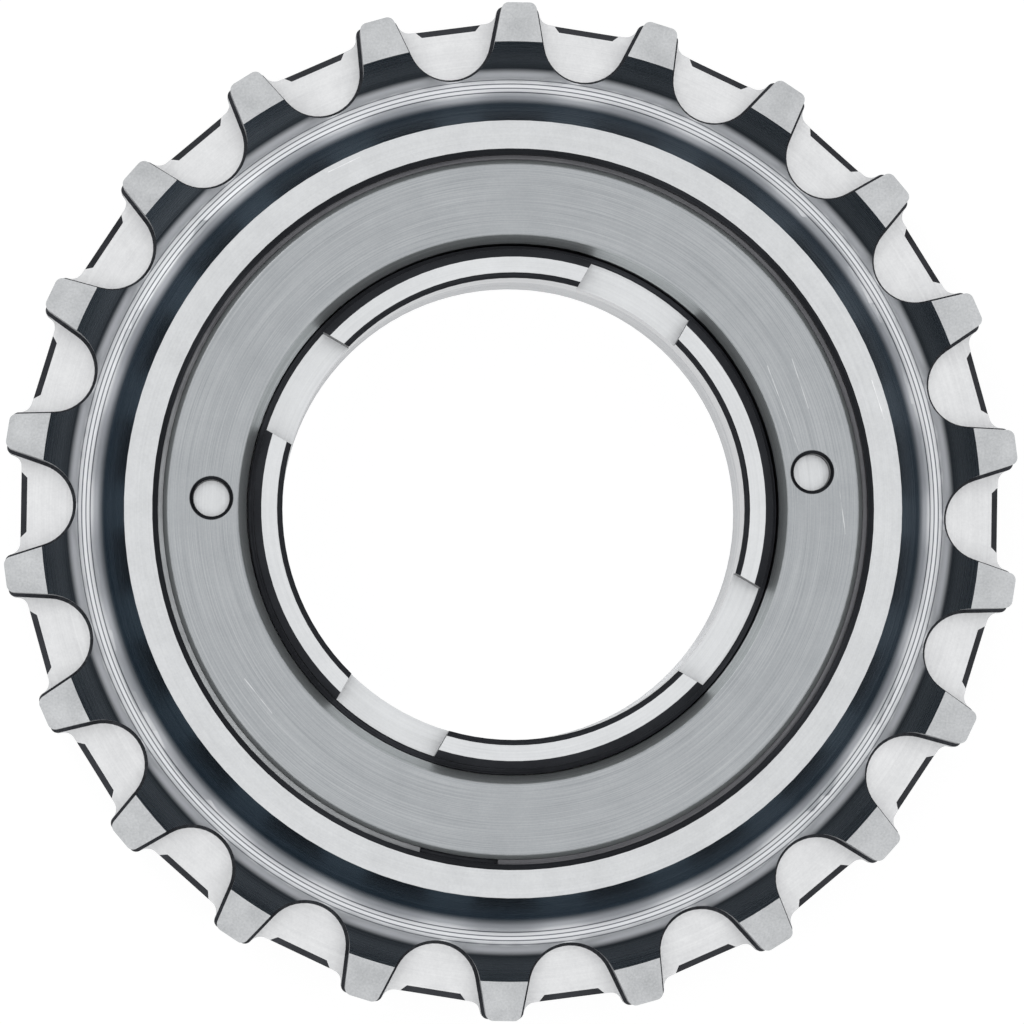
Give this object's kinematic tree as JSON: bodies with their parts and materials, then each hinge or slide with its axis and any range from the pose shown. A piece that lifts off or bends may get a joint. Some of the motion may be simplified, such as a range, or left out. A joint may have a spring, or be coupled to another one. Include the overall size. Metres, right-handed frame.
{
  "type": "belt drive sprocket",
  "caption": "Centre-fin belt sprocket whose shell is a single speed freewheel, with a threaded inner body, a pin-hole lockring and an internal ratchet.",
  "frame": {"origin": "on the axis, in the plane of the inner body's rear seat face", "axes": "+Z along the axis out of the front face, +Y towards the top of the front view, +X to its right"},
  "size_m": [0.0746, 0.075, 0.0176],
  "materials": {
    "shell_steel": "blasted tooth faces, turned groove",
    "body_steel": "fine machined",
    "lockring_steel": "circular brushed",
    "ring_steel": "dark rolled",
    "spring_steel": "bright wire",
    "ball_steel": "polished",
    "pawl_steel": "hardened",
    "shim_steel": "rolled",
    "seal_rubber": "matte"
  },
  "bodies": {
    "core": {"inner_body": "body_steel", "lockring": "lockring_steel", "shim_1": "shim_steel", "shim_2": "shim_steel", "pawl_spring": "spring_steel", "rear_seal": "seal_rubber", "front_balls": "ball_steel", "rear_balls": "ball_steel"},
    "shell": {"sprocket_shell": "shell_steel", "dust_ring": "ring_steel"},
    "pawl_body_1": {"pawl_1": "pawl_steel"},
    "pawl_body_2": {"pawl_2": "pawl_steel"},
    "pawl_body_3": {"pawl_3": "pawl_steel"}
  },
  "joints": [
    {"name": "shell_spin", "type": "hinge", "parent": "core", "child": "shell", "pos_m": [0, 0, 0.006], "axis": [0, 0, 1], "continuous": true},
    {"name": "pawl_1_fold", "type": "hinge", "parent": "core", "child": "pawl_body_1", "pos_m": [0.00269, 0.01911, 0.0077], "axis": [0, 0, 1], "range_deg": [0, 13], "stiffness_Nm_per_rad": 0.02, "springref_deg": -11.46},
    {"name": "pawl_2_fold", "type": "hinge", "parent": "core", "child": "pawl_body_2", "pos_m": [-0.01789, -0.00723, 0.0077], "axis": [0, 0, 1], "range_deg": [0, 13], "stiffness_Nm_per_rad": 0.02, "springref_deg": -11.46},
    {"name": "pawl_3_fold", "type": "hinge", "parent": "core", "child": "pawl_body_3", "pos_m": [0.01521, -0.01188, 0.0077], "axis": [0, 0, 1], "range_deg": [0, 13], "stiffness_Nm_per_rad": 0.02, "springref_deg": -11.46}
  ]
}
